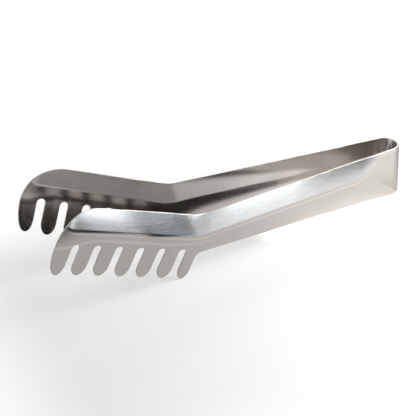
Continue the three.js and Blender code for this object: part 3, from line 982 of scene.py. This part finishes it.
def add_floor():
    """A pale floor that the lamps light round the tongs and that runs out to plain white."""
    material, tree, bsdf = new_matt("pale floor", FLOOR_GREY, FLOOR_DULLNESS)
    place = object_place(tree)
    x = clamp(place["X"].math("ABSOLUTE") - LIT_HALF_LENGTH, 0.0, FAR)
    y = clamp((place["Y"] - LIT_MIDDLE).math("ABSOLUTE") - LIT_HALF_WIDTH, 0.0, FAR)
    outside = smoothstep((x * x + y * y).math("SQRT"), 0.0, LIT_FADE)
    white = tree.nodes.new("ShaderNodeEmission")
    white.inputs["Strength"].default_value = 1.0
    share = mix(LIT_WHITE, 1.0, outside) * background_rays(tree)
    blend_shaders(tree, bsdf.outputs["BSDF"], white.outputs["Emission"], share)
    floor = add_plane("floor", material, (0, 0, cad_box[0].z), FLOOR_SIZE, FLOOR_SIZE, LYING)


def painted_shade_felt(name, share, reach, fade):
    """Felt that blacks out a share of what is behind it, as painted shade. The share can fade in along an
    axis.
    """
    material, tree, bsdf = new_matt(name, FELT_GREY, 1.0)
    rays = tree.nodes.new("ShaderNodeLightPath")
    share = share * Field(tree, rays.outputs["Ray Length"]).math("GREATER_THAN", reach)
    if fade:
        axis, start, end = fade
        share = share * smoothstep(object_place(tree)[axis], start, end)
    clear = tree.nodes.new("ShaderNodeBsdfTransparent")
    blend_shaders(tree, clear.outputs["BSDF"], bsdf.outputs["BSDF"], share)
    return material


def show_in_steel_only(panel):
    panel.visible_camera = False
    panel.visible_diffuse = False
    panel.visible_shadow = False


def add_painted_shade_card(name, felt, side, place, end):
    """A card of painted shade in the middle of an arm's sheet, as far as end, which fills its slots and the
    space under it.
    """
    stations = np.linspace(-HANDLE_LENGTH + CARD_START, end, CARD_STATIONS)
    rows = np.linspace(SLOT_DEPTH - CARD_LAP, TIP_DEPTH, CARD_ROWS)
    along, depth = (grid.ravel() for grid in np.meshgrid(stations, rows, indexing="ij"))
    across = -side * inset(along, depth, PRESS)
    points = [(-x, y, z) for (x, z), y in zip(side_points(along, depth), across)]
    corner = np.arange(len(points)).reshape(CARD_STATIONS, CARD_ROWS)
    round_face = (corner[:-1, :-1], corner[1:, :-1], corner[1:, 1:], corner[:-1, 1:])
    mesh = bpy.data.meshes.new(name)
    mesh.from_pydata(points, [], np.stack(round_face, axis=-1).reshape(-1, 4).tolist())
    mesh.transform(place)
    for point in mesh.vertices:
        point.co.z = max(point.co.z, cad_box[0].z + CARD_LIFT)
    mesh.materials.append(felt)
    show_in_steel_only(new_object(name, mesh))


def add_softbox(name, place, aim, width, height, radiance, colour, spread):
    """A soft lamp at a place that looks at another."""
    lamp = bpy.data.lights.new(name, "AREA")
    lamp.shape = "RECTANGLE"
    lamp.size, lamp.size_y = width, height
    lamp.energy = radiance * math.pi * width * height
    lamp.color = colour
    lamp.spread = spread
    softbox = new_object(name, lamp)
    softbox.location = place
    softbox.rotation_euler = (aim - place).to_track_quat("-Z", "Y").to_euler()
    softbox.visible_camera = False


def add_world():
    """Weak light from all sides. The camera and the steel see it as plain white."""
    world = bpy.data.worlds.new("studio")
    world.use_nodes = True
    tree = world.node_tree
    background = tree.nodes["Background"]
    background.inputs["Color"].default_value = (1.0, 1.0, 1.0, 1.0)
    feed(tree, background.inputs["Strength"], mix(WORLD_RADIANCE, 1.0, background_rays(tree)))
    bpy.context.scene.world = world


def add_camera():
    ahead = Vector((
        math.sin(VIEW_AZIMUTH) * math.cos(VIEW_ELEVATION),
        math.cos(VIEW_AZIMUTH) * math.cos(VIEW_ELEVATION),
        -math.sin(VIEW_ELEVATION),
    ))
    level = ahead.cross(Vector((0, 0, 1))).normalized()
    right = Matrix.Rotation(VIEW_ROLL, 3, -ahead) @ level
    camera = new_object("camera", bpy.data.cameras.new("camera"))
    camera.data.lens = camera.data.sensor_width * FOCAL_LENGTH / PICTURE_WIDTH
    axes = Matrix((right, right.cross(ahead), -ahead)).transposed().to_4x4()
    camera.matrix_world = Matrix.Translation(VIEW_AIM - ahead * VIEW_DISTANCE) @ axes
    bpy.context.scene.camera = camera


add_floor()
felts = {name: painted_shade_felt(name, *recipe) for name, recipe in FELTS.items()}
# Painted shade seen only in the steel: black cards in the arms' slots and under the arms
add_painted_shade_card("front card", felts["black felt"], FRONT, places[FRONT], FIRST_SLOT + TOE_TIP_WIDTH)
add_painted_shade_card("rear card", felts["black felt"], REAR, places[REAR], 0.0)
# Panels of painted shade, seen only in the steel
for name, felt, middle, (width, height), tilt in PANELS:
    panel = add_plane(name, felts[felt], Vector(middle) * MM, width * MM, height * MM, tilt)
    show_in_steel_only(panel)
for name, place, aim, (width, height), radiance, colour, spread in SOFTBOXES:
    add_softbox(name, Vector(place) * MM, Vector(aim) * MM, width * MM, height * MM, radiance, colour, spread)
add_world()
add_camera()
bpy.context.scene.view_settings.view_transform = "Standard"
